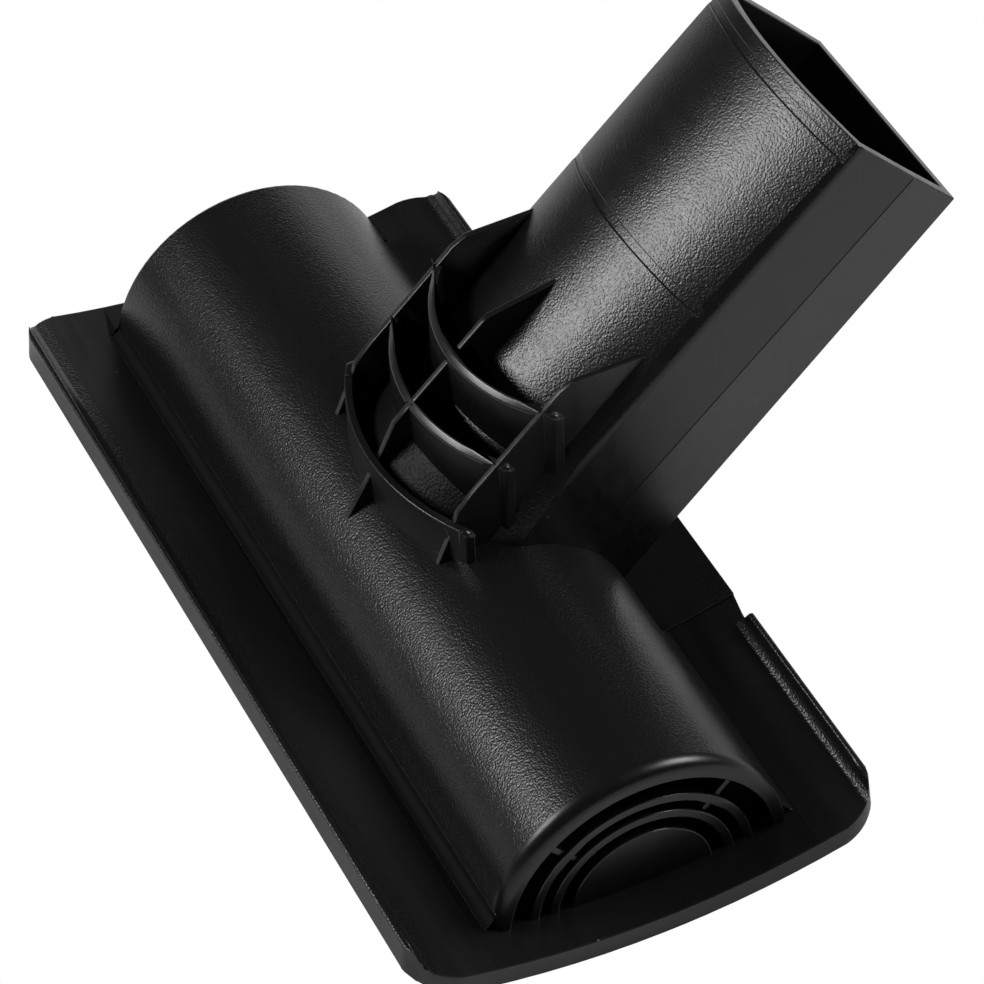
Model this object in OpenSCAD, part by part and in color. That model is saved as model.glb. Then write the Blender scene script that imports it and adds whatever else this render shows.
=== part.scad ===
// Vacuum upholstery nozzle, moulded in one piece of black plastic.
// A curved sole plate carries a half-round suction barrel. A D-shaped socket
// rises from the middle of the barrel, and a cage of thin ribs stiffens the elbow.
// X runs along the barrel, +Y towards the side the socket leans to, +Z up.
// The origin is on the lowest line of the sole, under the middle of the barrel.

/* [Sole] */
// Length of the sole, end to end
sole_len = 150; // [140:1:180]
// Distance from the barrel's axis to the front edge of the sole
sole_front = 37.3; // [32:0.1:44]
// Distance from the barrel's axis to the rear edge of the sole
sole_rear = 35.7; // [32:0.1:44]
// Radius of the curve that the sole rocks on, front to back
sole_curve_r = 133; // [110:1:220]
// Height of the edge of the sole plate at its ends
edge_h = 3; // [2.6:0.1:4]
// Radius of the two front corners, seen from above
front_corner_r = 8; // [4:0.5:12]
// Radius of the two rear corners, seen from above
rear_corner_r = 8.2; // [4:0.5:12]
// Angle that the edges of the sole lean in, all round
side_lean = 5.2; // [2:0.2:7]

/* [Rails] */
// Height of the two rails above the plate
rail_h = 1.5; // [1:0.1:2.2]
// Radius of the rounded crest of a rail
rail_crest_r = 0.5; // [0.3:0.05:0.6]
// Width of a rail at its foot
rail_foot_w = 3.4; // [3:0.1:4.5]
// Angle that the hollow inner side of a rail makes with the plate at its foot
rail_foot_angle = 12; // [8:1:20]
// Length of the gap in the rear rail, behind the socket
rail_gap_len = 66.6; // [60:0.2:80]
// Distance that the rear edge steps in where the rail is missing
gap_step_in = 0.9; // [0.4:0.1:1.5]
// Distance that it steps in next to the ends of the rail
gap_end_in = 1.6; // [1.2:0.1:2]
// Length of the raised land behind the socket
land_len = 57.4; // [46:0.2:70]
// Height of the raised land above the plate
land_h = 0.4; // [0.2:0.1:0.8]

/* [Barrel] */
// Outer radius of the barrel
barrel_r = 22.6; // [20.5:0.1:25]
// Height of the barrel's axis above the lowest line of the sole
barrel_axis_z = 2; // [0:0.1:4]
// Length of the barrel, end to end
barrel_len = 136.6; // [120:0.2:138]
// Rounding of the barrel's end edges
barrel_edge_r = 1; // [0.5:0.1:2]
// Radius of the fillet where the barrel meets the plate
foot_fillet_r = 1.9; // [0.6:0.1:2.5]
// Wall thickness of the moulding
wall = 2; // [1.6:0.1:2.4]

/* [Barrel ends] */
// Thickness of the lip round each end
lip_t = 2.1; // [1.8:0.1:3]
// Width of the groove between the lip and the first ring
first_groove_w = 3.2; // [2:0.1:4]
// Thickness of each ring
ring_t = 1.4; // [1:0.1:2]
// Width of the groove between the rings
ring_groove_w = 1.6; // [1.2:0.1:2.4]
// Width of the groove between the inner ring and the boss
boss_groove_w = 2; // [1.2:0.1:3]
// Number of rings at each end
ring_count = 2; // [1:1:2]
// Depth of the grooves
groove_d = 5; // [3:0.5:8]
// Distance that the rings and the boss sit back from the lip
ring_setback = 0.5; // [0.2:0.1:1]
// Thickness of the small webs that tie the rings together
web_t = 1; // [0.8:0.1:1.6]
// Angle of each web from the top of the barrel
web_angle = 43; // [20:1:60]

/* [Socket] */
// Angle of the socket's flat back above the sole
back_angle = 44.2; // [42:0.2:47]
// Angle of the socket's rounded front above the sole
front_angle = 40; // [38.5:0.5:41.5]
// Angle of the parting line and of the front corners above the sole
parting_angle = 43; // [42:0.2:44]
// Distance behind the barrel's axis at which the back, carried on down, meets the sole
back_foot_y = 11.9; // [11:0.1:13.5]
// Length of the flat back from the sole's level to the rim
back_len = 87.2; // [74:0.2:102]
// Width of the socket
socket_w = 40.6; // [38.8:0.1:43]
// Depth of the socket at its rim, front to back
socket_depth = 27.5; // [25:0.1:31]
// Distance at the rim from the back to the corners between the front and the sides
corner_depth = 22.8; // [20:0.1:23.5]
// Rounding between the front and the sides
socket_corner_r = 2; // [1:0.1:3]
// Distance at the rim from the back to the parting line on each side
parting_from_back = 10; // [6:0.1:12]
// Amount that each side narrows from the parting line to the back
back_draft = 0.5; // [0.2:0.1:1]
// Distance of the upper band below the rim
rim_band_at = 2.1; // [1.8:0.1:5]
// Distance of the middle band below the rim
mid_band_at = 31.9; // [25:0.1:34]
// Width of the two shallow bands round the front
band_w = 1.2; // [0.8:0.1:2]
// Depth of the two shallow bands
band_d = 0.3; // [0.1:0.05:0.5]

/* [Rib cage] */
// Thickness of the three upright fins
fin_t = 1; // [0.8:0.1:1.4]
// Distance of the outer fins from the middle
fin_x = 17.3; // [14:0.1:17.4]
// Thickness of the three curved cross walls
cross_t = 1.2; // [1:0.1:1.6]
// Rounding of the outer top corners of the cross walls
cross_corner_r = 1.2; // [0.5:0.1:2]

/* [Hidden] */
$fn = 96;
// Overlap between solids that are joined, and clearance of cutters past a face
lap = 0.05;
over = 1;
far = 200;

// Height of the sole's underside and of the plate's top at a distance y from the barrel's axis
function underside_z(y) = sole_curve_r - sqrt(pow(sole_curve_r, 2) - y * y);
plate_r = sole_curve_r - edge_h;
function plate_z(y) = sole_curve_r - sqrt(pow(plate_r, 2) - y * y);
// Distance from the middle to an edge of the sole at a height z, as the edges lean in
function edge_at(edge, z) = edge - z * tan(side_lean);
// Height above the lowest line that clears both rails
rail_top = plate_z(max(sole_front, sole_rear)) + rail_h + 1;

cavity_r = barrel_r - wall;
cavity_len = barrel_len - 2 * (groove_d + ring_setback + wall);
ring_r0 = barrel_r - lip_t - first_groove_w;
ring_pitch = ring_t + ring_groove_w;
boss_r = ring_r0 - ring_count * ring_pitch + ring_groove_w - boss_groove_w;

half_w = socket_w / 2;

// The front is part of a cone, set by two cross-sections: one at the rim, and one that lies
// arc_span below it. The front rises faster than its corners on the way down, so it gets rounder.
arc_span = 50;
front_taper = back_angle - front_angle;
parting_taper = back_angle - parting_angle;
function arc_r(rise) = (pow(half_w, 2) + rise * rise) / (2 * rise);
rim_rise = socket_depth - corner_depth;
low_rise = rim_rise + arc_span * (tan(front_taper) - tan(parting_taper));
// Distance of the cone's axis behind the back at the rim, and its lean against the back
cone_back = arc_r(rim_rise) - socket_depth;
low_back = arc_r(low_rise) - socket_depth - arc_span * tan(front_taper);
cone_lean = atan((cone_back - low_back) / arc_span);
cone_slope = cone_lean - front_taper;
// The corners start to turn in below their sharp edge, and end as a flat at this angle
corner_start = corner_depth - 2 / 3 * socket_corner_r;
corner_flat = 50;

// Front faces of the cross walls: y of the middle, top height, plan radius and half width
cross_foot = [-9.2, 30.4, 38, half_w];
cross_mid = [-2.6, 38.7, 30, half_w - 1.7];
cross_top = [3.7, 45.6, 27, half_w - 1.4];
cross_walls = [cross_foot, cross_mid, cross_top];

// Outlines of the fins as [y, z], from the barrel up over the cross walls to the socket
middle_fin = [[-13.9, 19.4], [-8.2, 29.1], [-5, 35.7], [9.2, 48.9], [10.4, 49.8], [23, 52.3]];
outer_fin = [
  [-7.1, 23], [-4.2, 29.6], [-3.4, 32.2], [-0.8, 35.1], [13, 48.2], [15.3, 49.4], [27.5, 49.7]
];
// Points inside the socket and inside the barrel, where the fins are cut away again
inside_socket = [22.5, 33];
inside_barrel = [0, 14];

// A solid with its 2D outline in the YZ plane, centred on x = 0
module along_x(length) {
  translate([-length / 2, 0, 0])
    rotate([90, 0, 90])
      linear_extrude(length) children();
}

// A cylinder along X on the barrel's axis, centred on x = 0
module on_barrel_axis(r, length) {
  translate([-length / 2, 0, barrel_axis_z])
    rotate([0, 90, 0]) cylinder(r = r, h = length);
}

// Everything above the plate's curved top
module above_plate() {
  translate([-far / 2, 0, sole_curve_r])
    rotate([0, 90, 0]) cylinder(r = plate_r, h = far, $fn = 360);
}

// Plan of the sole, drawn in by a given distance
module sole_plan(inset) {
  x = sole_len / 2 - inset;
  front = -sole_front + inset;
  rear = sole_rear - inset;
  fr = front_corner_r - inset;
  rr = rear_corner_r - inset;
  polygon([
    [-x + fr, front], [x - fr, front], [x, front + fr], [x, rear - rr],
    [x - rr, rear], [-x + rr, rear], [-x, rear - rr], [-x, front + fr]
  ]);
  for (side = [-1, 1]) {
    translate([side * (x - fr), front + fr]) circle(fr);
    translate([side * (x - rr), rear - rr]) circle(rr);
  }
}

// Cross-section of one rail on the side y > 0: a hollow ramp up to a round crest at the edge
module rail_section(edge) {
  r = rail_crest_r;
  crest_z = plate_z(edge) + rail_h - r;
  crest = [edge_at(edge, crest_z) - r, crest_z];
  toe = [edge - rail_foot_w, plate_z(edge - rail_foot_w)];
  // Centre of the hollow: square to its slope at the toe, and touching the crest
  slope = asin(toe[0] / plate_r) + rail_foot_angle;
  normal = [-sin(slope), cos(slope)];
  reach = toe - crest;
  hollow_r = (reach * reach - r * r) / (2 * (r - reach * normal));
  hollow = toe + hollow_r * normal;
  difference() {
    polygon([[edge, 0], [crest[0] + r, crest[1]], crest, hollow, toe, [toe[0], 0]]);
    translate(hollow) circle(hollow_r);
  }
  translate(crest) circle(r);
}

module rails() {
  half_gap = rail_gap_len / 2;
  foot_z = plate_z(sole_rear - rail_foot_w);
  along_x(sole_len + 2 * over) mirror([1, 0]) rail_section(sole_front);
  difference() {
    along_x(sole_len + 2 * over) rail_section(sole_rear);
    // The gap behind the socket, whose ends slope up from the plate
    translate([0, far / 2, 0])
      rotate([90, 0, 0])
        linear_extrude(far / 2)
          polygon([
            [-half_gap, -over], [half_gap, -over], [half_gap, foot_z],
            [half_gap + rail_h, foot_z + 2 * rail_h], [half_gap + rail_h, far],
            [-half_gap - rail_h, far], [-half_gap - rail_h, foot_z + 2 * rail_h],
            [-half_gap, foot_z]
          ]);
  }
}

// Everything between the two ends of the sole, which lean in
module between_ends() {
  x = sole_len / 2;
  translate([0, far / 2, 0])
    rotate([90, 0, 0])
      linear_extrude(far)
        polygon([
          [-x, 0], [x, 0], [edge_at(x, rail_top), rail_top], [-edge_at(x, rail_top), rail_top]
        ]);
}

// What is cut off one corner of the sole, on the side x > 0 and y > 0, to round it
module corner_cut(edge, r) {
  lean = tan(side_lean);
  translate([sole_len / 2 - r, edge - r, -over])
    difference() {
      cube([r + over, r + over, rail_top + 2 * over]);
      translate([0, 0, -over])
        cylinder(
          h = rail_top + 4 * over,
          r1 = r + lap + 2 * over * lean,
          r2 = r + lap - (rail_top + 2 * over) * lean
        );
    }
}

// Sole plate: a slice of a thick-walled tube with rounded corners and edges that lean in
module plate() {
  difference() {
    intersection() {
      between_ends();
      union() {
        difference() {
          along_x(sole_len + 2 * over)
            polygon([
              [-sole_front, 0], [sole_rear, 0],
              [edge_at(sole_rear, rail_top), rail_top], [-edge_at(sole_front, rail_top), rail_top]
            ]);
          above_plate();
        }
        rails();
        land();
      }
    }
    for (end = [0, 1]) mirror([end, 0, 0]) {
      corner_cut(sole_rear, rear_corner_r);
      mirror([0, 1, 0]) corner_cut(sole_front, front_corner_r);
    }
  }
}

// Raised land behind the socket
module land() {
  edge = sole_rear - gap_step_in;
  translate([-land_len / 2, 0, 0]) cube([land_len, edge, plate_z(0)]);
  difference() {
    translate([-land_len / 2, barrel_r - wall, 0])
      cube([land_len, edge - barrel_r + wall, rail_top]);
    translate([0, 0, land_h]) above_plate();
  }
}

// The step in the rear edge where the rail is missing
module rear_edge_step() {
  x = rail_gap_len / 2;
  edge = sole_rear - gap_step_in;
  end = sole_rear - gap_end_in;
  translate([0, 0, -over])
    linear_extrude(rail_top + 2 * over)
      polygon([
        [-x, end], [-land_len / 2, edge], [land_len / 2, edge], [x, end],
        [x, sole_rear + over], [-x, sole_rear + over]
      ]);
}

// Everything below the sole's curved underside
module below_sole() {
  difference() {
    translate([-far / 2, -far / 2, -over])
      cube([far, far, underside_z(sole_front) + 2 * over]);
    translate([-far / 2 - over, 0, sole_curve_r])
      rotate([0, 90, 0]) cylinder(r = sole_curve_r, h = far + 2 * over, $fn = 360);
  }
}

// Relief under the plate that leaves a skirt round the edge and a lip round the mouth
module underside_relief() {
  mouth_x = cavity_len + 2 * wall;
  difference() {
    translate([0, 0, -over])
      linear_extrude(plate_z(sole_front) + over) sole_plan(wall);
    translate([0, 0, -wall]) above_plate();
    translate([-mouth_x / 2, -barrel_r, -2 * over])
      cube([mouth_x, 2 * barrel_r, 2 * barrel_r]);
  }
}

// Half-round barrel with rounded end edges and a fillet along each foot
module barrel() {
  intersection() {
    translate([-barrel_len / 2, 0, barrel_axis_z])
      rotate([0, 90, 0])
        rotate_extrude()
          union() {
            square([barrel_r - barrel_edge_r, barrel_len]);
            translate([0, barrel_edge_r])
              square([barrel_r, barrel_len - 2 * barrel_edge_r]);
            for (y = [barrel_edge_r, barrel_len - barrel_edge_r])
              translate([barrel_r - barrel_edge_r, y]) circle(barrel_edge_r);
          }
    translate([-barrel_len / 2, -barrel_r, barrel_axis_z])
      cube([barrel_len, 2 * barrel_r, barrel_r + over]);
  }
  for (side = [0, 1]) mirror([0, side, 0]) foot_fillet();
}

// Fillet between the barrel and the plate, on the side y > 0
module foot_fillet() {
  r = foot_fillet_r;
  // Centre of the fillet: r away from the barrel's skin and from the plate's top
  reach = barrel_r + r;
  cz = plate_z(barrel_r + r) + r;
  cy = sqrt(pow(reach, 2) - pow(cz - barrel_axis_z, 2));
  along_x(barrel_len - 2 * barrel_edge_r)
    difference() {
      translate([barrel_r - wall, underside_z(barrel_r)])
        square([cy - barrel_r + wall, cz - underside_z(barrel_r)]);
      translate([cy, cz]) circle(r);
    }
}

// Grooves in one end of the barrel, on the side x > 0, down to the plate
module end_grooves() {
  face = barrel_len / 2;
  intersection() {
    above_plate();
    difference() {
      translate([face - groove_d - ring_setback, 0, barrel_axis_z])
        rotate([0, 90, 0])
          cylinder(r = barrel_r - lip_t, h = groove_d + ring_setback + over);
      translate([face - groove_d - ring_setback - over, 0, barrel_axis_z])
        rotate([0, 90, 0]) {
          cylinder(r = boss_r, h = groove_d + over);
          for (i = [0 : ring_count - 1])
            difference() {
              cylinder(r = ring_r0 - i * ring_pitch, h = groove_d + over);
              translate([0, 0, -over])
                cylinder(r = ring_r0 - i * ring_pitch - ring_t, h = groove_d + 3 * over);
            }
        }
      for (side = [-1, 1]) web(side);
    }
  }
}

// A small web across the two outer grooves
module web(side) {
  length = first_groove_w + ring_pitch;
  translate([barrel_len / 2 - groove_d - ring_setback - over, 0, barrel_axis_z])
    rotate([side * web_angle, 0, 0])
      translate([0, -web_t / 2, barrel_r - lip_t - length])
        cube([groove_d + over - ring_setback, web_t, length + lap]);
}

// Places its children in the frame of the socket's back: z along it, y across it towards the outside
module on_back() {
  translate([0, back_foot_y, 0]) rotate([back_angle - 90, 0, 0]) children();
}

// The same frame turned to run along the parting line, with its origin at the rim
module along_parting() {
  on_back() translate([0, 0, back_len]) rotate([-parting_taper, 0, 0]) children();
}

// The cone of the rounded front, drawn in by a given distance
module front_cone(inset) {
  axis_depth = cone_back + socket_depth;
  r = axis_depth * cos(cone_lean) - inset / cos(cone_slope);
  // Distance along the cone's axis at which it has this radius, and its two ends
  at = -axis_depth * sin(cone_lean);
  low = -back_len - 5 * wall;
  high = 5 * wall;
  on_back()
    translate([0, cone_back, back_len])
      rotate([-cone_lean, 0, 0])
        translate([0, 0, low])
          cylinder(
            h = high - low,
            r1 = r + (low - at) * tan(cone_slope),
            r2 = r + (high - at) * tan(cone_slope),
            $fn = 360
          );
}

// Everything on the inner side of the flat back, up to a given distance along it
module before_back(inset, length) {
  on_back()
    translate([-far / 2, -far - inset, wall]) cube([far, far, length - wall]);
}

// Sides of the socket as a prism, which narrows from the parting line to the back
module sides(inset) {
  hw = half_w - inset;
  past = back_len * tan(parting_taper) + over;
  bw = hw - back_draft * (1 + past / parting_from_back);
  along_parting()
    translate([0, 0, -back_len])
      linear_extrude(back_len + 3 * over)
        polygon([
          [-hw, -2 * socket_depth], [hw, -2 * socket_depth], [hw, -parting_from_back],
          [bw, past], [-bw, past], [-hw, -parting_from_back]
        ]);
}

// The same prism with its front corners turned in
module turned_corners() {
  r = socket_corner_r;
  cx = half_w - r;
  end = [cx + r * sin(corner_flat), corner_start + r * cos(corner_flat)];
  peak = end[1] + end[0] * tan(corner_flat);
  along_parting()
    translate([0, 0, -back_len])
      linear_extrude(back_len + 3 * over) {
        polygon([
          [half_w, far / 4], [half_w, -corner_start], [end[0], -end[1]], [0, -peak],
          [-end[0], -end[1]], [-half_w, -corner_start], [-half_w, far / 4]
        ]);
        for (side = [-1, 1]) translate([side * cx, -corner_start]) circle(r);
      }
}

// Everything behind the face of a cross wall, set back by a given distance
module behind_wall(w, inset) {
  r = w[2] - inset;
  translate([0, w[0] + w[2], 0]) {
    translate([0, 0, -over]) cylinder(r = r, h = far, $fn = 180);
    translate([-r, 0, -over]) cube([2 * r, far, far]);
  }
}

// D-shaped tube before it is bored out
module socket_body() {
  intersection() {
    front_cone(0);
    before_back(0, back_len);
    sides(0);
    turned_corners();
    behind_wall(cross_foot, cross_t / 2);
  }
}

// Bore of the socket, open at the rim and into the barrel
module socket_bore() {
  intersection() {
    front_cone(wall);
    before_back(wall, back_len + over);
    sides(wall);
    behind_wall(cross_foot, wall);
  }
}

// A shallow band across the rounded front, a given distance below the rim
module band(below_rim) {
  difference() {
    on_back()
      translate([-half_w - over, -far / 4, back_len - below_rim - band_w])
        cube([socket_w + 2 * over, far / 4 - parting_from_back, band_w]);
    front_cone(band_d);
  }
}

// One upright fin from its outline
module fin(outline, x) {
  translate([x, 0, 0])
    along_x(fin_t) polygon(concat(outline, [inside_socket, inside_barrel]));
}

// One curved cross wall with rounded top corners
module cross_wall(w) {
  r = cross_corner_r;
  intersection() {
    difference() {
      translate([0, w[0] + w[2], 0]) cylinder(r = w[2], h = w[1] + over, $fn = 180);
      translate([0, w[0] + w[2], -over])
        cylinder(r = w[2] - cross_t, h = w[1] + 3 * over, $fn = 180);
    }
    translate([0, w[0] + w[2], 0])
      rotate([90, 0, 0])
        linear_extrude(w[2] + over) {
          translate([-w[3], barrel_r / 2]) square([2 * w[3], w[1] - r - barrel_r / 2]);
          translate([-w[3] + r, barrel_r / 2]) square([2 * (w[3] - r), w[1] - barrel_r / 2]);
          for (side = [-1, 1]) translate([side * (w[3] - r), w[1] - r]) circle(r);
        }
  }
}

module nozzle() {
  color([0.05, 0.05, 0.055])
    difference() {
      union() {
        plate();
        barrel();
        socket_body();
        fin(middle_fin, 0);
        for (side = [-1, 1]) fin(outer_fin, side * fin_x);
        for (w = cross_walls) cross_wall(w);
      }
      below_sole();
      rear_edge_step();
      underside_relief();
      on_barrel_axis(cavity_r, cavity_len);
      socket_bore();
      for (end = [0, 1]) mirror([end, 0, 0]) end_grooves();
      band(rim_band_at);
      band(mid_band_at);
    }
}

nozzle();
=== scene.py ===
import math

import bmesh
import bpy
from mathutils import Matrix, Vector


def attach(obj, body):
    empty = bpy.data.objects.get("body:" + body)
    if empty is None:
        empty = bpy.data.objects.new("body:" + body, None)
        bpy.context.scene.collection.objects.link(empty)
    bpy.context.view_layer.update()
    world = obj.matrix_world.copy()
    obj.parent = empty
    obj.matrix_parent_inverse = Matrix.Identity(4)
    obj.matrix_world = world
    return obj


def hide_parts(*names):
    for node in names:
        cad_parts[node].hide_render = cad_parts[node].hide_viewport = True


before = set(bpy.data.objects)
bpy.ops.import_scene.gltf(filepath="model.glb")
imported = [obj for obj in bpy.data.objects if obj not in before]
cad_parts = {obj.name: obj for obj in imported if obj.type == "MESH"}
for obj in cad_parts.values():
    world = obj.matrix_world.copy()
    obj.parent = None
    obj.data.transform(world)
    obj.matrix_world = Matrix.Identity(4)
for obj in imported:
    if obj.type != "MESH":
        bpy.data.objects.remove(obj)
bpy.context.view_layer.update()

# Camera: the nozzle is seen from above its right front, lying on the table with the
# socket leaning away, through a long lens that stands two thirds of a metre off.
azimuth, elevation, roll = math.radians(65.26), math.radians(44.53), math.radians(-1.98)
aim = Vector((0.0183432, 0.010617, 0.0314818))
distance = 0.663704
focal_pixels = 4696.14
photo_size = 984
optical_centre = (548.94, 487.78)
back = Vector((math.sin(azimuth) * math.cos(elevation), -math.cos(azimuth) * math.cos(elevation), math.sin(elevation)))
level = Vector((0, 0, 1)).cross(back).normalized()
upright = back.cross(level)
right = math.cos(roll) * level + math.sin(roll) * upright
up = math.cos(roll) * upright - math.sin(roll) * level
camera_data = bpy.data.cameras.new("camera")
camera_data.sensor_width = 36
camera_data.lens = focal_pixels / photo_size * camera_data.sensor_width
camera_data.shift_x = (photo_size / 2 - optical_centre[0]) / photo_size
camera_data.shift_y = (optical_centre[1] - photo_size / 2) / photo_size
camera_data.clip_start, camera_data.clip_end = 0.01, 50
camera = bpy.data.objects.new("camera", camera_data)
camera.matrix_world = Matrix.Translation(aim + back * distance) @ Matrix((right, up, back)).transposed().to_4x4()
bpy.context.scene.collection.objects.link(camera)
bpy.context.scene.camera = camera

# The plastic: black polypropylene takes the finish of each wall of its mould. Every finish
# shares the grain, the flow streaks of the melt and the dust that has settled on it.
# Some finishes are painted light: two turn the sheen down as painted shade, one turns it up as a painted reflection,
# and the rubbed edges are lighter partly for wear and partly as a painted highlight.
plastic_black = (0.0056, 0.0056, 0.0059, 1)
dust_grey = (0.16, 0.155, 0.145, 1)


def new_group(name, sockets_in, sockets_out):
    group = bpy.data.node_groups.new(name, "ShaderNodeTree")
    for label, kind, value in sockets_in:
        socket = group.interface.new_socket(name=label, in_out="INPUT", socket_type=kind)
        if value is not None:
            socket.default_value = value
    for label, kind in sockets_out:
        group.interface.new_socket(name=label, in_out="OUTPUT", socket_type=kind)
    start = group.nodes.new("NodeGroupInput")
    end = group.nodes.new("NodeGroupOutput")
    return group, start, end


def math_node(tree, operation, *terms):
    node = tree.nodes.new("ShaderNodeMath")
    node.operation = operation
    for slot, term in enumerate(terms):
        if isinstance(term, (int, float)):
            node.inputs[slot].default_value = term
        else:
            tree.links.new(term, node.inputs[slot])
    return node.outputs[0]


grain, start, end = new_group(
    "spark eroded grain",
    [("Place", "NodeSocketVector", None), ("Cells per metre", "NodeSocketFloat", 2000.0)],
    [("Height", "NodeSocketFloat")],
)
pebbles = grain.nodes.new("ShaderNodeTexVoronoi")
pebbles.feature = "SMOOTH_F1"
pebbles.inputs["Smoothness"].default_value = 0.5
grain.links.new(start.outputs["Place"], pebbles.inputs["Vector"])
grain.links.new(start.outputs["Cells per metre"], pebbles.inputs["Scale"])
pits = grain.nodes.new("ShaderNodeTexNoise")
pits.inputs["Detail"].default_value = 1.5
grain.links.new(start.outputs["Place"], pits.inputs["Vector"])
grain.links.new(math_node(grain, "MULTIPLY", start.outputs["Cells per metre"], 0.8), pits.inputs["Scale"])
uneven = math_node(grain, "MULTIPLY", pits.outputs["Fac"], 0.9)
grain.links.new(math_node(grain, "SUBTRACT", uneven, pebbles.outputs["Distance"]), end.inputs["Height"])

streaks, start, end = new_group(
    "flow streaks",
    [("Place", "NodeSocketVector", None), ("Lowest", "NodeSocketFloat", 0.3), ("Highest", "NodeSocketFloat", 0.4)],
    [("Roughness", "NodeSocketFloat")],
)
along = streaks.nodes.new("ShaderNodeMapping")
along.inputs["Scale"].default_value = (60, 420, 260)
melt = streaks.nodes.new("ShaderNodeTexNoise")
melt.inputs["Scale"].default_value = 1
melt.inputs["Detail"].default_value = 3
spread = streaks.nodes.new("ShaderNodeMapRange")
spread.inputs["From Min"].default_value = 0.3
spread.inputs["From Max"].default_value = 0.7
streaks.links.new(start.outputs["Place"], along.inputs["Vector"])
streaks.links.new(along.outputs["Vector"], melt.inputs["Vector"])
streaks.links.new(melt.outputs["Fac"], spread.inputs["Value"])
streaks.links.new(start.outputs["Lowest"], spread.inputs["To Min"])
streaks.links.new(start.outputs["Highest"], spread.inputs["To Max"])
streaks.links.new(spread.outputs["Result"], end.inputs["Roughness"])

dust, start, end = new_group(
    "dust specks",
    [("Place", "NodeSocketVector", None), ("Specks per metre", "NodeSocketFloat", 90.0), ("Speck size", "NodeSocketFloat", 0.014)],
    [("Mask", "NodeSocketFloat")],
)
scatter = dust.nodes.new("ShaderNodeTexVoronoi")
scatter.inputs["Randomness"].default_value = 1
dust.links.new(start.outputs["Place"], scatter.inputs["Vector"])
dust.links.new(start.outputs["Specks per metre"], scatter.inputs["Scale"])
dust.links.new(math_node(dust, "LESS_THAN", scatter.outputs["Distance"], start.outputs["Speck size"]), end.inputs["Mask"])


def finish(name, colour, lowest, highest, grain_depth, cells, gloss=0.5):
    material = bpy.data.materials.new(name)
    material.use_nodes = True
    tree = material.node_tree
    nodes, links = tree.nodes, tree.links
    shader = nodes["Principled BSDF"]
    shader.inputs["Specular IOR Level"].default_value = gloss
    place = nodes.new("ShaderNodeTexCoord").outputs["Object"]
    flow = nodes.new("ShaderNodeGroup")
    flow.node_tree = streaks
    flow.inputs["Lowest"].default_value = lowest
    flow.inputs["Highest"].default_value = highest
    links.new(place, flow.inputs["Place"])
    links.new(flow.outputs["Roughness"], shader.inputs["Roughness"])
    motes = nodes.new("ShaderNodeGroup")
    motes.node_tree = dust
    links.new(place, motes.inputs["Place"])
    tint = nodes.new("ShaderNodeMix")
    tint.data_type = "RGBA"
    tint.inputs["A"].default_value = colour
    tint.inputs["B"].default_value = dust_grey
    links.new(motes.outputs["Mask"], tint.inputs["Factor"])
    links.new(tint.outputs["Result"], shader.inputs["Base Color"])
    skin = nodes.new("ShaderNodeGroup")
    skin.node_tree = grain
    skin.inputs["Cells per metre"].default_value = cells
    links.new(place, skin.inputs["Place"])
    relief = nodes.new("ShaderNodeBump")
    relief.inputs["Strength"].default_value = 1
    relief.inputs["Distance"].default_value = grain_depth
    links.new(skin.outputs["Height"], relief.inputs["Height"])
    links.new(relief.outputs["Normal"], shader.inputs["Normal"])
    return material


grained = finish("grained black", plastic_black, 0.27, 0.31, 0.000036, 3100)
# Cell floors low in the cage: grained black with the sheen turned down, painted shade where the first cross wall
# shades them.
deep_painted_shade = finish("deep grained black", plastic_black, 0.42, 0.5, 0.00006, 2600, gloss=0.14)
smooth = finish("smooth black", plastic_black, 0.27, 0.36, 0.000003, 1500)
polished = finish("polished black", plastic_black, 0.28, 0.34, 0.000002, 900, gloss=0.4)
# The fillet at the barrel's foot: sheen turned down so that the crease reads dark, painted shade.
matt_painted_shade = finish("matt black", plastic_black, 0.6, 0.7, 0.000006, 1800, gloss=0.08)
# Rounded edges and torn flakes: a lighter black, partly rubbed wear and partly a painted highlight along the edges.
rubbed_painted_highlight = finish("rubbed edge black", (0.012, 0.012, 0.0125, 1), 0.2, 0.3, 0.000004, 1500)
# The socket's sides behind the parting line: extra sheen, a painted reflection.
drawn_painted_sheen = finish("drawn black", plastic_black, 0.25, 0.33, 0.000003, 1500, gloss=0.72)

# The moulding: sole, barrel, socket and ribs come out of one mould together. The barrel and
# the front of the socket are grained, the rest is smooth, and the outward edges are slightly round.
barrel_r, barrel_axis_z = 0.0226, 0.002
sole_curve_r, plate_curve_r = 0.133, 0.13
foot_fillet = 0.0019
on_surface = 0.00012
cone_point = Vector((0, 0.087445, 0.047394))
cone_axis = Vector((0, 0.91122, 0.412))
cone_slope = math.radians(15.67)
cone_r = 0.04784
band_d = 0.0003
front_of_socket = Vector((0, -0.697165, 0.716911))
up_the_socket = Vector((0, 0.716911, 0.697165))
fin_t = 0.001
edge_radius = 0.0002
rail_inner_y = 0.0322
lip_rounding_x, lip_rounding_r = 0.0672, 0.0213
lip_from_x, lip_centre_x, lip_round_r, lip_tilt = 0.0653, 0.0673, 0.001, math.radians(40)
wall_tops_z = (0.0387, 0.0456)
outer_fins_x = 0.0169
chamfer = 0.0008
painted_sheen_from_x = 0.0195
GRAINED, SMOOTH, POLISHED, MATT_PAINTED_SHADE, RUBBED_PAINTED_HIGHLIGHT, DEEP_PAINTED_SHADE, DRAWN_PAINTED_SHEEN = range(7)


# Picks each face's finish; some of the finishes are painted light, as marked below.
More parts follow.
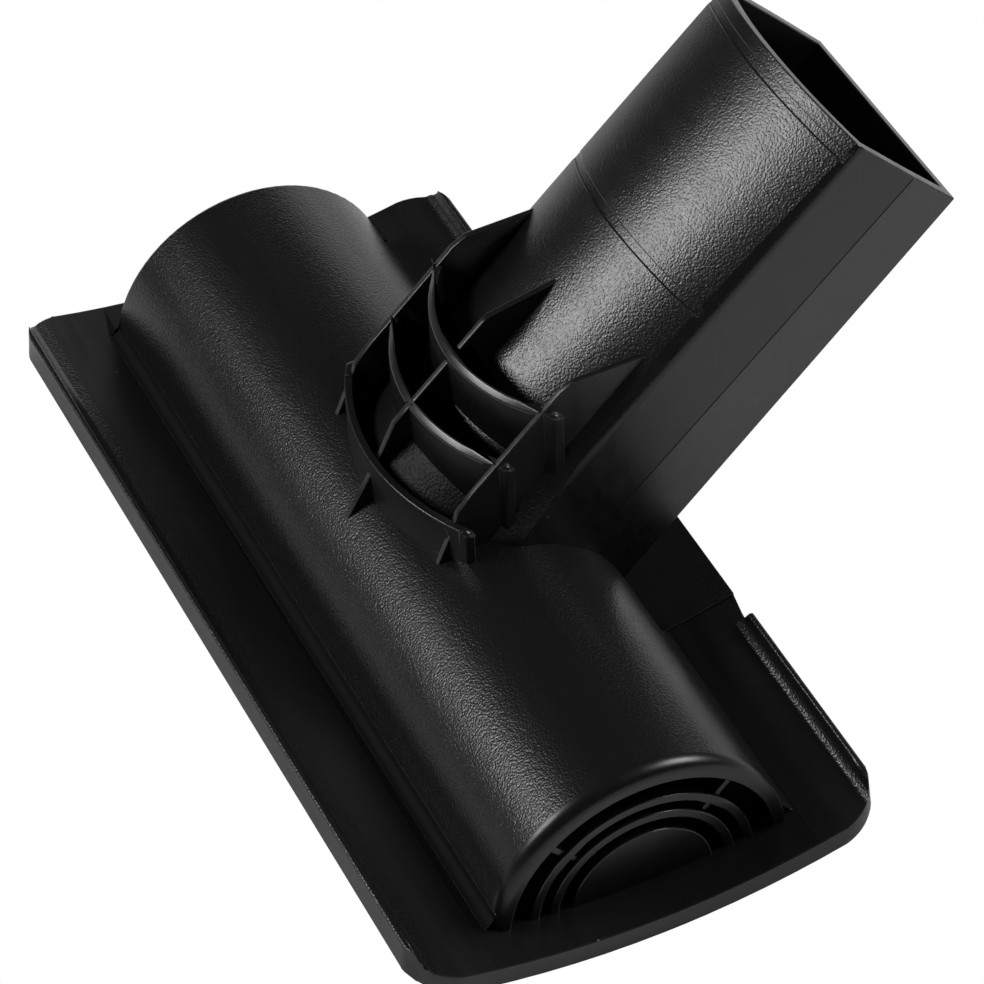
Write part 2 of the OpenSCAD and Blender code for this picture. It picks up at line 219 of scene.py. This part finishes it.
def finish_or_painted_light(face):
    middle, facing = face.calc_center_median(), face.normal
    # Socket sides behind the parting line get the extra sheen of a painted reflection.
    if abs(facing.x) > 0.99 and facing.z < -0.02 and abs(middle.x) > painted_sheen_from_x:
        return DRAWN_PAINTED_SHEEN
    outs = [math.hypot(v.co.y, v.co.z - barrel_axis_z) for v in face.verts]
    across = max(v.co.x for v in face.verts) - min(v.co.x for v in face.verts)
    on_the_barrel = max(outs) < barrel_r + on_surface and min(outs) > barrel_r - on_surface
    if on_the_barrel and middle.x < lip_from_x:
        return GRAINED
    if abs(middle.x) > 0.06 and max(outs) < barrel_r + on_surface and middle.z > 0.003:
        return POLISHED
    # The barrel's foot fillet is dulled as painted shade.
    if barrel_r < max(outs) < barrel_r + foot_fillet * 1.6 and middle.z < 0.012 and facing.z > 0.1:
        return MATT_PAINTED_SHADE
    if facing.dot(front_of_socket) > 0.5 and abs(facing.dot(up_the_socket)) < 0.15 and middle.z > 0.02:
        top_of_a_fin = abs(facing.x) < 0.001 and abs(across - fin_t) < on_surface
        if top_of_a_fin:
            return SMOOTH
        # Cell floors low in the cage are dulled as painted shade.
        return DEEP_PAINTED_SHADE if middle.z < 0.0318 and abs(middle.x) < 0.0173 else GRAINED
    if 0.1 < abs(facing.y) and facing.z > 0.3 and middle.z < 0.012 and abs(middle.y) > rail_inner_y:
        return GRAINED
    return SMOOTH


moulding_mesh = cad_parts["nozzle"].data.copy()
moulding_mesh.materials.clear()
for material in (grained, smooth, polished, matt_painted_shade, rubbed_painted_highlight, deep_painted_shade, drawn_painted_sheen):
    moulding_mesh.materials.append(material)
shape = bmesh.new()
shape.from_mesh(moulding_mesh)
bmesh.ops.remove_doubles(shape, verts=shape.verts, dist=1.5e-5)
bmesh.ops.dissolve_limit(shape, angle_limit=math.radians(0.1), verts=shape.verts, edges=shape.edges)
shape.normal_update()
reached = {max(shape.verts, key=lambda corner: corner.co.z)}
waiting = list(reached)
while waiting:
    corner = waiting.pop()
    for edge in corner.link_edges:
        other = edge.other_vert(corner)
        if other not in reached:
            reached.add(other)
            waiting.append(other)
bmesh.ops.delete(shape, geom=[corner for corner in shape.verts if corner not in reached], context="VERTS")
barrel_faces = [face for face in shape.faces if finish_or_painted_light(face) == GRAINED and face.calc_center_median().z < 0.0247]
barrel_edges = [edge for edge in shape.edges if any(face in barrel_faces for face in edge.link_faces)]
bmesh.ops.bisect_plane(shape, geom=barrel_faces + barrel_edges, plane_co=(lip_from_x, 0, 0), plane_no=(1, 0, 0))
slanted_tops = []
for edge in shape.edges:
    up_facing = max(face.normal.z for face in edge.link_faces)
    to_the_front = min(face.normal.y for face in edge.link_faces)
    heights = [corner.co.z for corner in edge.verts]
    if up_facing > 0.99 and to_the_front < -0.5:
        inside_the_cage = max(abs(corner.co.x) for corner in edge.verts) < outer_fins_x
        if inside_the_cage and any(max(abs(height - top) for height in heights) < on_surface for top in wall_tops_z):
            slanted_tops.append(edge)
slants = bmesh.ops.bevel(shape, geom=slanted_tops, offset=chamfer, segments=1, affect="EDGES", clamp_overlap=False)
shape.normal_update()
for face in shape.faces:
    face.smooth = True
    face.material_index = SMOOTH if face in slants["faces"] else finish_or_painted_light(face)
rounded = shape.edges.layers.float.new("bevel_weight_edge")
for edge in shape.edges:
    halfway = (edge.verts[0].co + edge.verts[1].co) / 2
    turn = edge.calc_face_angle(0)
    at_lip = abs(halfway.x) > lip_rounding_x and math.hypot(halfway.y, halfway.z - barrel_axis_z) > lip_rounding_r
    room_beside = min(face.calc_area() for face in edge.link_faces) / max(edge.calc_length(), 1e-9)
    if turn > math.radians(42) or turn > math.radians(26) and not at_lip:
        edge[rounded] = 1 if edge.is_convex and room_beside > 2 * edge_radius else 0
shape.to_mesh(moulding_mesh)
shape.free()
moulding = bpy.data.objects.new("moulding", moulding_mesh)
bpy.context.scene.collection.objects.link(moulding)
rounding = moulding.modifiers.new("round edges", "BEVEL")
rounding.width = edge_radius
rounding.segments = 2
rounding.limit_method = "WEIGHT"
rounding.use_clamp_overlap = False
# The rounded edge strips take the lighter rubbed finish, partly a painted highlight.
rounding.material = RUBBED_PAINTED_HIGHLIGHT
plain = bpy.data.meshes.new_from_object(moulding.evaluated_get(bpy.context.evaluated_depsgraph_get()))
moulding.modifiers.clear()
shape = bmesh.new()
shape.from_mesh(plain)
shape.normal_update()
for edge in shape.edges:
    edge.smooth = edge.is_convex or edge.calc_face_angle(0) < math.radians(26)
shape.to_mesh(plain)
shape.free()
moulding.data = plain
even = moulding.modifiers.new("even shading", "WEIGHTED_NORMAL")
even.weight = 80
even.mode = "FACE_AREA"
even.keep_sharp = True
plain = bpy.data.meshes.new_from_object(moulding.evaluated_get(bpy.context.evaluated_depsgraph_get()))
moulding.modifiers.clear()
moulding.data = plain


def true_normal(point):
    outwards = Vector((0, point.y, point.z - barrel_axis_z))
    past_centre = point.x - lip_centre_x
    above_centre = outwards.length - barrel_r + lip_round_r
    tilt = None
    if past_centre > 0 and above_centre > -on_surface and point.z > barrel_axis_z:
        if abs(math.hypot(past_centre, above_centre) - lip_round_r) < on_surface:
            tilt = lip_tilt + (1 - lip_tilt / (math.pi / 2)) * math.atan2(past_centre, above_centre)
    elif point.x > lip_from_x and abs(above_centre - lip_round_r) < on_surface:
        tilt = lip_tilt * (point.x - lip_from_x) / (lip_centre_x - lip_from_x)
    if tilt is not None:
        return math.cos(tilt) * outwards.normalized() + math.sin(tilt) * Vector((1, 0, 0))
    if abs(outwards.length - barrel_r) < on_surface and point.z > barrel_axis_z:
        return outwards.normalized()
    along = (point - cone_point).dot(cone_axis)
    outwards = point - cone_point - along * cone_axis
    proud = outwards.length - cone_r - along * math.tan(cone_slope)
    if -band_d - on_surface < proud < on_surface and outwards.dot(front_of_socket) > 0:
        return math.cos(cone_slope) * outwards.normalized() - math.sin(cone_slope) * cone_axis
    inwards = Vector((0, -point.y, sole_curve_r - point.z))
    if abs(inwards.length - plate_curve_r) < on_surface:
        return inwards.normalized()
    if abs(inwards.length - sole_curve_r) < on_surface:
        return -inwards.normalized()
    return None


normals = [corner.vector.copy() for corner in plain.corner_normals]
for face in plain.polygons:
    for loop in face.loop_indices:
        point = plain.vertices[plain.loops[loop].vertex_index].co
        found = true_normal(point)
        closest = 0.7 if point.x > lip_from_x else 0.985
        if found and found.dot(face.normal) > closest:
            normals[loop] = found
plain.normals_split_custom_set(normals)
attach(moulding, "root")
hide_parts("nozzle")

# The flash: a hair of plastic runs down both sides of the socket where the halves of the
# mould meet, and small torn flakes are left where the fins cross the walls.
parting_top = Vector((0, 0.067443, 0.067959))
down_the_parting = Vector((0, -0.731354, -0.681998))
parting_len, parting_from_rim, half_socket = 0.0655, 0.0004, 0.0203
hair_width, flake_len, flake_width = 0.00016, 0.0009, 0.00028
fin_places = (-0.0173, 0, 0.0173)
wall_tops = ((-0.0092, 0.0304, 0.038), (-0.0026, 0.0387, 0.03), (0.0037, 0.0456, 0.027))


def geometry_tree(name, inputs):
    tree = bpy.data.node_groups.new(name, "GeometryNodeTree")
    tree.interface.new_socket(name="Geometry", in_out="INPUT", socket_type="NodeSocketGeometry")
    for label, kind in inputs:
        tree.interface.new_socket(name=label, in_out="INPUT", socket_type=kind)
    tree.interface.new_socket(name="Geometry", in_out="OUTPUT", socket_type="NodeSocketGeometry")
    start = tree.nodes.new("NodeGroupInput")
    end = tree.nodes.new("NodeGroupOutput")
    whole = tree.nodes.new("GeometryNodeRealizeInstances")
    painted = tree.nodes.new("GeometryNodeSetMaterial")
    tree.links.new(whole.outputs["Geometry"], painted.inputs["Geometry"])
    tree.links.new(start.outputs["Material"], painted.inputs["Material"])
    tree.links.new(painted.outputs["Geometry"], end.inputs["Geometry"])
    return tree, start, whole


def grow(name, points, edges, tree, values):
    mesh = bpy.data.meshes.new(name)
    mesh.from_pydata(points, edges, [])
    piece = bpy.data.objects.new(name, mesh)
    bpy.context.scene.collection.objects.link(piece)
    modifier = piece.modifiers.new(name, "NODES")
    modifier.node_group = tree
    for item in tree.interface.items_tree:
        if item.in_out == "INPUT" and item.name in values:
            modifier[item.identifier] = values[item.name]
    piece.update_tag()
    grown = bpy.data.meshes.new_from_object(piece.evaluated_get(bpy.context.evaluated_depsgraph_get()))
    piece.modifiers.clear()
    piece.data = grown
    for face in grown.polygons:
        face.use_smooth = True
    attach(piece, "root")


hair, start, whole = geometry_tree("hair along a line", [("Width", "NodeSocketFloat"), ("Material", "NodeSocketMaterial")])
line = hair.nodes.new("GeometryNodeMeshToCurve")
steps = hair.nodes.new("GeometryNodeResampleCurve")
steps.mode = "LENGTH"
steps.inputs["Length"].default_value = 0.0015
ragged = hair.nodes.new("ShaderNodeTexNoise")
ragged.inputs["Scale"].default_value = 400
sized = hair.nodes.new("GeometryNodeSetCurveRadius")
section = hair.nodes.new("GeometryNodeCurvePrimitiveCircle")
section.inputs["Resolution"].default_value = 6
swept = hair.nodes.new("GeometryNodeCurveToMesh")
swept.inputs["Fill Caps"].default_value = True
hair.links.new(start.outputs["Geometry"], line.inputs["Mesh"])
hair.links.new(line.outputs["Curve"], steps.inputs["Curve"])
hair.links.new(steps.outputs["Curve"], sized.inputs["Curve"])
hair.links.new(math_node(hair, "MULTIPLY", ragged.outputs["Fac"], 1.6), sized.inputs["Radius"])
hair.links.new(math_node(hair, "MULTIPLY", start.outputs["Width"], 0.5), section.inputs["Radius"])
hair.links.new(sized.outputs["Curve"], swept.inputs["Curve"])
hair.links.new(section.outputs["Curve"], swept.inputs["Profile Curve"])
hair.links.new(swept.outputs["Mesh"], whole.inputs["Geometry"])
line_points, line_edges = [], []
for side in (-1, 1):
    first = parting_top + down_the_parting * parting_from_rim + Vector((side * half_socket, 0, 0))
    line_edges.append((len(line_points), len(line_points) + 1))
    line_points += [first, first + down_the_parting * parting_len]
grow("parting_flash", line_points, line_edges, hair, {"Width": hair_width, "Material": smooth})

flakes, start, whole = geometry_tree(
    "torn flakes",
    [("Length", "NodeSocketFloat"), ("Width", "NodeSocketFloat"), ("Seed", "NodeSocketInt"), ("Material", "NodeSocketMaterial")],
)
flake = flakes.nodes.new("GeometryNodeMeshCone")
flake.inputs["Vertices"].default_value = 3
flake.inputs["Radius Top"].default_value = 0.00001
turned = flakes.nodes.new("FunctionNodeRandomValue")
turned.data_type = "FLOAT_VECTOR"
turned.inputs["Min"].default_value = (-0.9, -0.9, 0)
turned.inputs["Max"].default_value = (0.9, 0.9, 6.28)
grown_to = flakes.nodes.new("FunctionNodeRandomValue")
grown_to.data_type = "FLOAT"
placed = flakes.nodes.new("GeometryNodeInstanceOnPoints")
flakes.links.new(start.outputs["Width"], flake.inputs["Radius Bottom"])
flakes.links.new(start.outputs["Length"], flake.inputs["Depth"])
flakes.links.new(start.outputs["Seed"], turned.inputs["Seed"])
flakes.links.new(start.outputs["Seed"], grown_to.inputs["Seed"])
flakes.links.new(start.outputs["Geometry"], placed.inputs["Points"])
flakes.links.new(flake.outputs["Mesh"], placed.inputs["Instance"])
flakes.links.new(turned.outputs["Value"], placed.inputs["Rotation"])
flakes.links.new(math_node(flakes, "ADD", grown_to.outputs[1], 0.5), placed.inputs["Scale"])
flakes.links.new(placed.outputs["Instances"], whole.inputs["Geometry"])
crossings = []
for x in fin_places:
    for front, top, plan_r in wall_tops:
        crossings.append((x, front + plan_r - math.sqrt(plan_r ** 2 - x ** 2), top - 0.0001))
# The flakes take the same lighter rubbed finish, partly a painted highlight.
grow("torn_flash", crossings, [], flakes, {"Length": flake_len, "Width": flake_width / 2, "Seed": 4, "Material": rubbed_painted_highlight})

# The table: a sheet of white paper that runs on, and a white card that stands round the far
# side. Both read as plain white behind the nozzle, and the card shows in its glossy flanks.
card_reach, card_height = 1.2, 0.5
card_from, card_to, card_steps = 131, 181, 12


def white_stage(name, points, faces, glossy_too):
    mesh = bpy.data.meshes.new(name)
    mesh.from_pydata(points, [], faces)
    sheet = bpy.data.objects.new(name, mesh)
    bpy.context.scene.collection.objects.link(sheet)
    white = bpy.data.materials.new(name)
    white.use_nodes = True
    tree = white.node_tree
    nodes, links = tree.nodes, tree.links
    paper = nodes["Principled BSDF"]
    paper.inputs["Base Color"].default_value = (0.85, 0.85, 0.85, 1)
    paper.inputs["Roughness"].default_value = 0.9
    glow = nodes.new("ShaderNodeEmission")
    glow.inputs["Color"].default_value = (1, 1, 1, 1)
    rays = nodes.new("ShaderNodeLightPath")
    mixed = nodes.new("ShaderNodeMixShader")
    seen = rays.outputs["Is Camera Ray"]
    if glossy_too:
        seen = math_node(tree, "MAXIMUM", seen, rays.outputs["Is Glossy Ray"])
    links.new(seen, mixed.inputs["Fac"])
    links.new(paper.outputs["BSDF"], mixed.inputs[1])
    links.new(glow.outputs["Emission"], mixed.inputs[2])
    links.new(mixed.outputs["Shader"], nodes["Material Output"].inputs["Surface"])
    mesh.materials.append(white)


white_stage("table", [(-3, -3, 0), (3, -3, 0), (3, 3, 0), (-3, 3, 0)], [(0, 1, 2, 3)], False)
card_points = []
for step in range(card_steps + 1):
    turn = math.radians(card_from + (card_to - card_from) * step / card_steps)
    for height in (0, card_height):
        card_points.append((card_reach * math.cos(turn), card_reach * math.sin(turn), height))
card_faces = [(2 * i, 2 * i + 1, 2 * i + 3, 2 * i + 2) for i in range(card_steps)]
white_stage("card", card_points, card_faces, True)


# The light: a strong soft box at the front left, a weaker one behind on the right that the
# camera side never mirrors, and a dark room.
def soft_box(name, turn, rise, reach, size, radiance):
    turn, rise = math.radians(turn), math.radians(rise)
    towards = Vector((math.cos(turn) * math.cos(rise), math.sin(turn) * math.cos(rise), math.sin(rise)))
    data = bpy.data.lights.new(name, "AREA")
    data.shape = "RECTANGLE"
    data.size, data.size_y = size
    data.energy = radiance * math.pi * size[0] * size[1]
    lamp = bpy.data.objects.new(name, data)
    lamp.location = towards * reach
    lamp.rotation_mode = "QUATERNION"
    lamp.rotation_quaternion = towards.to_track_quat("Z", "Y")
    bpy.context.scene.collection.objects.link(lamp)


soft_box("left soft box", 248, 37, 1.5, (0.64, 0.5), 14)
soft_box("rear soft box", 78, 42, 1.5, (0.7, 0.5), 14)
room = bpy.data.worlds.new("room")
bpy.context.scene.world = room
room.use_nodes = True
tree = room.node_tree
dim = tree.nodes["Background"]
dim.inputs["Color"].default_value = (0.05, 0.05, 0.05, 1)
bright = tree.nodes.new("ShaderNodeBackground")
bright.inputs["Color"].default_value = (1, 1, 1, 1)
rays = tree.nodes.new("ShaderNodeLightPath")
mixed = tree.nodes.new("ShaderNodeMixShader")
tree.links.new(rays.outputs["Is Camera Ray"], mixed.inputs["Fac"])
tree.links.new(dim.outputs["Background"], mixed.inputs[1])
tree.links.new(bright.outputs["Background"], mixed.inputs[2])
tree.links.new(mixed.outputs["Shader"], tree.nodes["World Output"].inputs["Surface"])
bpy.context.scene.view_settings.view_transform = "Standard"
